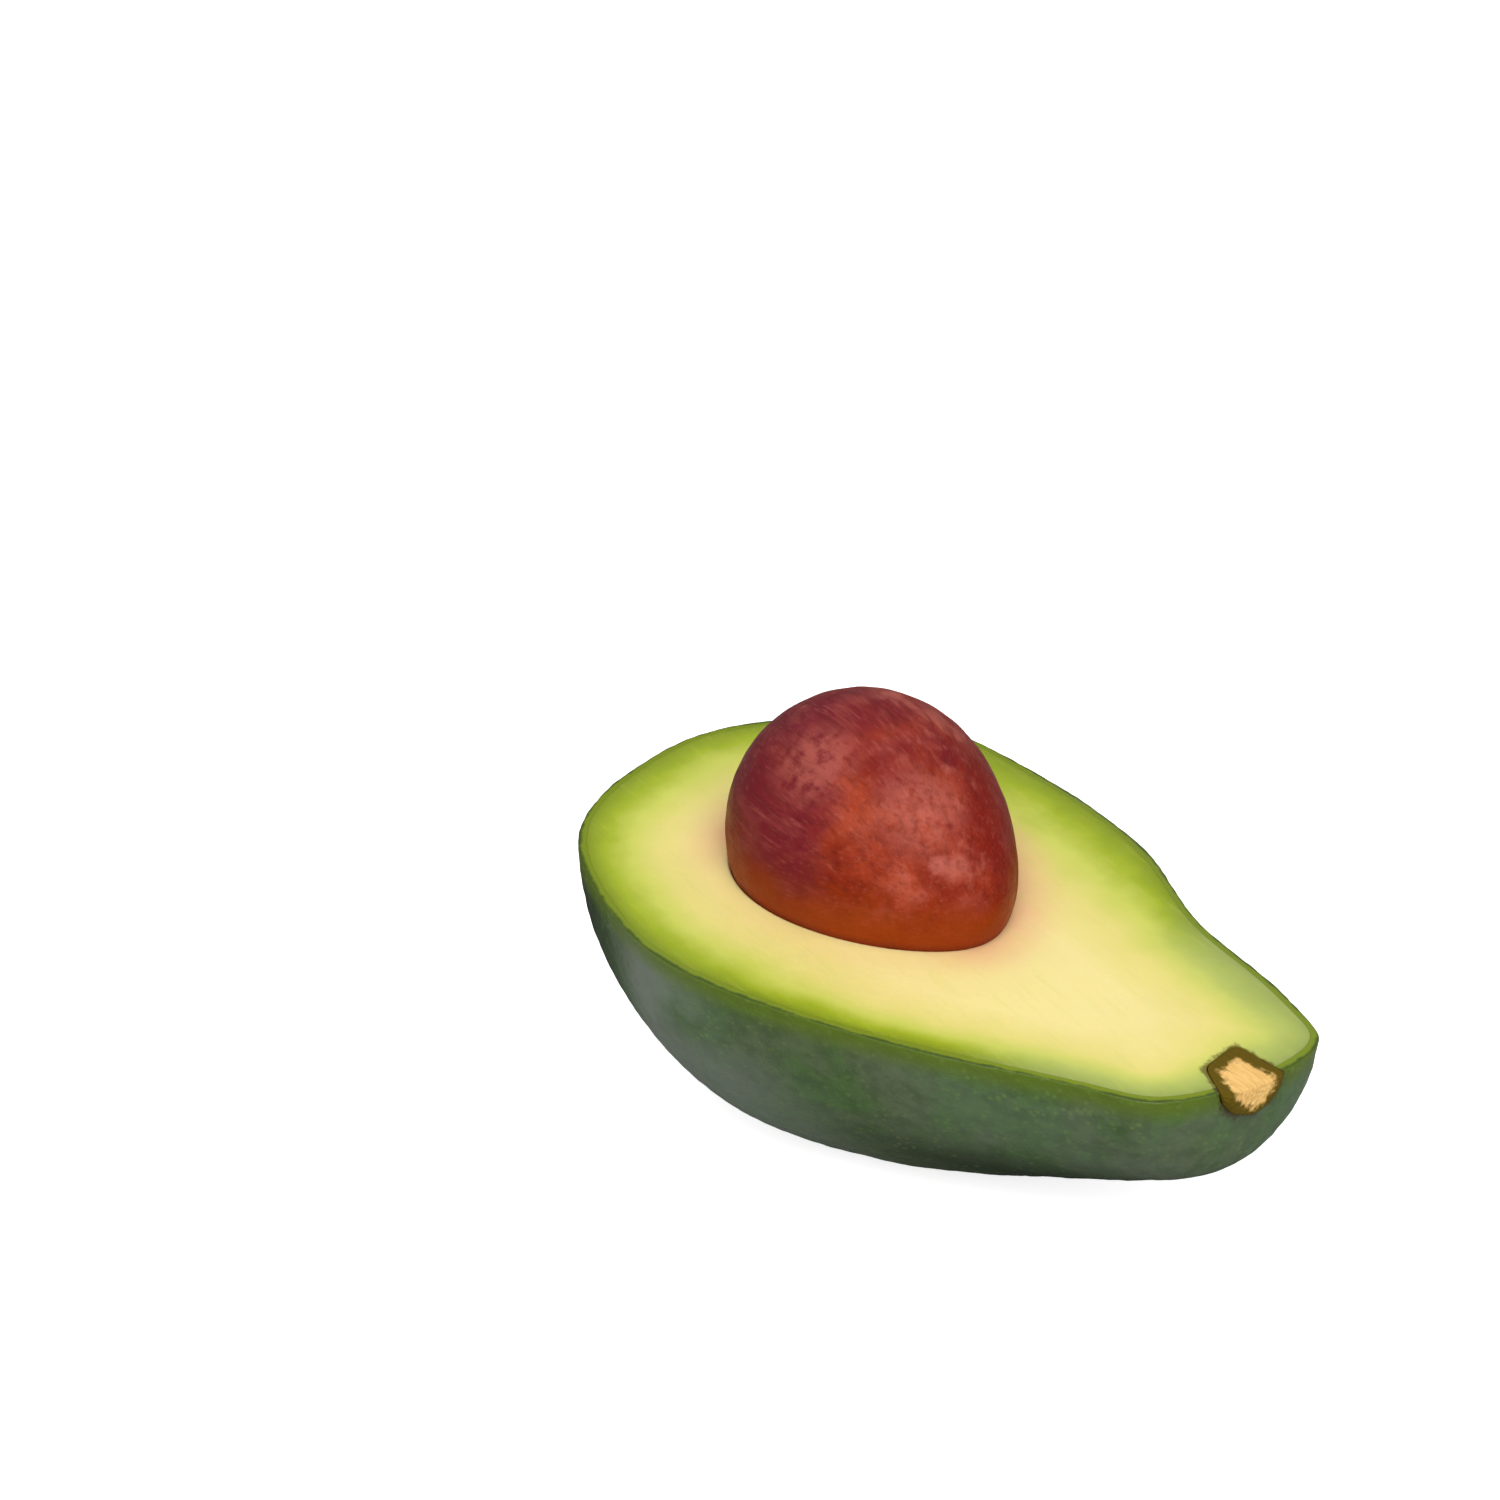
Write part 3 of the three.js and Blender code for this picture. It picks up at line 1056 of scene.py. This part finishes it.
def seed_material(colours):
    """A thin red-brown coat, wine red on one cheek and the crown and crimson on the other; these
    also paint shade toward the seed's edges.

    It is scuffed between the cheeks with painted highlights, rusty at the flesh, and painted shade
    darkens it at the cut.
    """
    seed = Surface("Seed coat", colours.seed_red, in_fruit=True, specular_ior_level=0.1)
    side = seed.x * 0.52 + seed.y * 0.85 + (seed.wandering(9, 12) - 30 * MM)
    seed.paint(colours.seed_light, seed.patches(6, 0.35, 0.65))
    # painted shade: the cheeks to either side darken in wine red and crimson
    seed.paint(colours.seed_wine_and_shade, side.fades(-2, -13) * 0.85)
    seed.paint(colours.seed_crimson_and_shade, side.fades(6, 14) * 0.85)
    # painted shade: the crown darkens in wine red
    crown = (seed.z + seed.wandering(7, 8)).fades(21, 32)
    seed.paint(colours.seed_wine_and_shade, crown * 0.7)
    # painted highlights: pale scuff marks gathered between the cheeks and at the listed places
    seed.paint(colours.seed_dust_and_highlight, seed_scuffs_and_highlights(seed, side))
    seed.paint(colours.seed_dust_and_highlight, seed.patches(0.55, 0.5, 0.8, stretch=14) * 0.3)
    seed.paint(colours.seed_dark_and_shade, seed.patches(0.9, 0.45, 0.75, stretch=12) * 0.4)
    rust = (seed.z + seed.wandering(5, 5)).fades(14, 4)
    seed.paint(colours.seed_rust, rust * 0.85)
    # painted shade: darker just above the cut, where the seed goes into its hollow
    seed.paint(colours.seed_dark_and_shade, seed.z.fades(1.4, 0.1) * 0.45)
    seed.emboss(seed.patches(0.8, 0.3, 0.7, stretch=8), 0.06)
    seed.emboss(seed.patches(0.5), 0.015)
    return seed.finished(seed.patches(4, 0.3, 0.7) * 0.16 + 0.4)


def stalk_material(colours):
    """Cut wood with lengthwise fibres, and ragged dark bark round its side."""
    stalk = Surface("Stalk", colours.stalk_wood, in_fruit=True, specular_ior_level=0.15)
    stalk.paint(colours.stalk_fibre, stalk.patches(0.6, 0.4, 0.65, stretch=6) * 0.7)
    ragged = stalk.wandering(1, 0.9) - 0.4 * MM + stalk.patches(3.5, 0.25, 0.75) * (1.1 * MM)
    stalk.paint(colours.stalk_bark, (stalk.stalk_gap() + ragged).fades(-1.65, -0.6))
    stalk.emboss(stalk.patches(0.5, stretch=5), 0.15)
    return stalk.finished(stalk.patches(1.5, 0.3, 0.7) * 0.15 + 0.6)


# Operators


def shared_groups(sizes):
    """Makes the node groups that the materials share, once."""
    if "Soft patches" not in bpy.data.node_groups:
        patches_group()
        specks_group()
        stalk_gap_group(sizes)


def stalk_pit(sizes):
    """A cutter a little larger than the stalk's end, open at the cut and past the rind."""
    surface = stalk_surface(sizes, grown=sizes.pit_room, above=1 * MM, beyond=3 * MM)
    return closed_piece("pit_cutter", *surface)


class AVOCADO_OT_rind(bpy.types.Operator):
    """Add the rind, a thin pebbled shell with a hole for the stalk"""

    bl_idname = "avocado.add_rind"
    bl_label = "Add rind"

    def execute(self, context):
        sizes = context.scene.avocado_sizes
        shared_groups(sizes)
        piece = closed_piece("rind", *rind_surface(sizes))
        carve(piece, stalk_pit(sizes))
        outline = fruit_outline(0.0)
        note(piece, "wall_share", gap_to(corners_of(piece), outline) / sizes.skin_thickness)
        finish_piece(piece, rind_material(context.scene.avocado_colours), "skin")
        return {"FINISHED"}


class AVOCADO_OT_flesh(bpy.types.Operator):
    """Add the flesh, with its cut face, the seed's hollow and the stalk's pit"""

    bl_idname = "avocado.add_flesh"
    bl_label = "Add flesh"

    def execute(self, context):
        sizes = context.scene.avocado_sizes
        shared_groups(sizes)
        piece = closed_piece("cut_flesh", *flesh_surface(sizes))
        carve(piece, stalk_pit(sizes))
        places = corners_of(piece)
        outline = fruit_outline(sizes.skin_thickness + sizes.seat)
        note(piece, "green_depth", gap_to(places, outline) * green_quickening(places))
        ring = hollow_ring(sizes, np.linspace(-np.pi, np.pi, 360), 0.0)[0]
        within = egg_share(sizes, places * (1, 1, 0), sizes.seed_room)[0] < 1
        note(piece, "seed_gap", np.where(within, 0, gap_to(places, ring)))
        finish_piece(piece, flesh_material(context.scene.avocado_colours), "flesh")
        return {"FINISHED"}


class AVOCADO_OT_seed(bpy.types.Operator):
    """Add the seed"""

    bl_idname = "avocado.add_seed"
    bl_label = "Add seed"

    def execute(self, context):
        sizes = context.scene.avocado_sizes
        shared_groups(sizes)
        piece = closed_piece("whole_seed", *seed_surface(sizes))
        finish_piece(piece, seed_material(context.scene.avocado_colours), "seed")
        return {"FINISHED"}


class AVOCADO_OT_stalk(bpy.types.Operator):
    """Add the halved end of the stalk"""

    bl_idname = "avocado.add_stalk"
    bl_label = "Add stalk end"

    def execute(self, context):
        sizes = context.scene.avocado_sizes
        shared_groups(sizes)
        piece = closed_piece("stalk_end", *stalk_surface(sizes))
        finish_piece(piece, stalk_material(context.scene.avocado_colours), "stem_stub")
        return {"FINISHED"}


class AVOCADO_OT_stage(bpy.types.Operator):
    """Add the floor, the light and the camera"""

    bl_idname = "avocado.add_stage"
    bl_label = "Add stage"

    def execute(self, context):
        stage = context.scene.avocado_stage
        add_floor(stage)
        add_surround(context.scene, stage)
        add_key(stage)
        add_camera(context.scene, stage)
        return {"FINISHED"}


def seen_directly(tree):
    """1 for what the camera sees itself, 0 for the light that it gives to other things."""
    return Number(place_node(tree, "ShaderNodeLightPath").outputs["Is Camera Ray"])


def add_floor(stage):
    """A wide round floor: rings whose radius grows by equal shares."""
    radius = FLOOR_RADII[:, None]
    turn = np.linspace(0, 2 * np.pi, FLOOR_SPOKES, endpoint=False)[None, :]
    flat = np.zeros((len(radius), turn.size))
    points = np.stack([radius * np.cos(turn), radius * np.sin(turn), flat], -1).reshape(-1, 3)
    mesh = bpy.data.meshes.new("floor")
    mesh.from_pydata(points.tolist(), [], grid_faces(*flat.shape, wrap=True).tolist())
    mesh.validate()
    floor = add_object("floor", mesh)
    made, tree, shader = new_material(
        "Floor", specular_ior_level=0.2, roughness=0.8, emission_color=(1, 1, 1, 1)
    )
    seen = seen_directly(tree)
    shade = mixed(tree, seen, stage.floor_bounce, stage.floor)
    tree.links.new(shade, shader.inputs["Base Color"])
    glow = seen * stage.floor_glow
    tree.links.new(glow.socket, shader.inputs["Emission Strength"])
    mesh.materials.append(made)


def add_surround(scene, stage):
    """White light from all round, brightest overhead, with a white backdrop behind the floor."""
    world = bpy.data.worlds.new("Surround")
    world.use_nodes = True
    tree = world.node_tree
    direction = place_node(tree, "ShaderNodeTexCoord").outputs["Generated"]
    overhead = axes_of(direction)[2].eased(0.0, SURROUND_TOP)
    lit = overhead * (stage.surround_high - stage.surround_low) + stage.surround_low
    background = tree.nodes["Background"].inputs
    tree.links.new(lit.or_more(seen_directly(tree)).socket, background["Strength"])
    background["Color"].default_value = (1, 1, 1, 1)
    scene.world = world
    scene.view_settings.view_transform = "Standard"


def add_key(stage):
    """A very soft main light from above and in front."""
    lamp = bpy.data.lights.new("key", "SUN")
    lamp.energy = stage.key
    lamp.angle = stage.key_spread
    key = add_object("key", lamp)
    level = math.cos(stage.key_height)
    across, along = math.sin(stage.key_bearing), math.cos(stage.key_bearing)
    toward = Vector((level * along, -level * across, math.sin(stage.key_height)))
    key.rotation_euler = toward.to_track_quat("Z", "Y").to_euler()
    key.location = toward


def add_camera(scene, stage):
    """A level camera of long focal length."""
    lens = bpy.data.cameras.new("camera")
    lens.lens = stage.camera_lens
    lens.sensor_width = 36
    camera = add_object("camera", lens)
    place, aim = (
        Vector(tipped(np.array(point))) for point in (stage.camera_place, stage.camera_aim)
    )
    camera.location = place
    roll = Quaternion((0, 0, 1), stage.camera_roll)
    camera.rotation_euler = ((place - aim).to_track_quat("Z", "Y") @ roll).to_euler()
    scene.camera = camera


class AVOCADO_PT_panel(bpy.types.Panel):
    """Lists the avocado's pieces, sizes and colours"""

    bl_label = "Avocado half"
    bl_idname = "AVOCADO_PT_panel"
    bl_space_type = "VIEW_3D"
    bl_region_type = "UI"
    bl_category = "Avocado"

    def draw(self, context):
        for operator in OPERATORS:
            self.layout.operator(operator.bl_idname)
        for group in ("avocado_sizes", "avocado_colours", "avocado_stage"):
            settings = getattr(context.scene, group)
            box = self.layout.box()
            for name in settings.__annotations__:
                box.prop(settings, name)


GROUPS = {
    "avocado_sizes": AvocadoSizes,
    "avocado_colours": AvocadoColours,
    "avocado_stage": AvocadoStage,
}
OPERATORS = (
    AVOCADO_OT_rind,
    AVOCADO_OT_flesh,
    AVOCADO_OT_seed,
    AVOCADO_OT_stalk,
    AVOCADO_OT_stage,
)


def register():
    for name, group in GROUPS.items():
        bpy.utils.register_class(group)
        setattr(bpy.types.Scene, name, bpy.props.PointerProperty(type=group))
    for operator in OPERATORS:
        bpy.utils.register_class(operator)
    bpy.utils.register_class(AVOCADO_PT_panel)


def unregister():
    bpy.utils.unregister_class(AVOCADO_PT_panel)
    for operator in reversed(OPERATORS):
        bpy.utils.unregister_class(operator)
    for name, group in reversed(GROUPS.items()):
        delattr(bpy.types.Scene, name)
        bpy.utils.unregister_class(group)


def main():
    register()
    bpy.ops.avocado.add_rind()
    bpy.ops.avocado.add_flesh()
    bpy.ops.avocado.add_seed()
    bpy.ops.avocado.add_stalk()
    bpy.ops.avocado.add_stage()


if __name__ == "__main__":
    main()
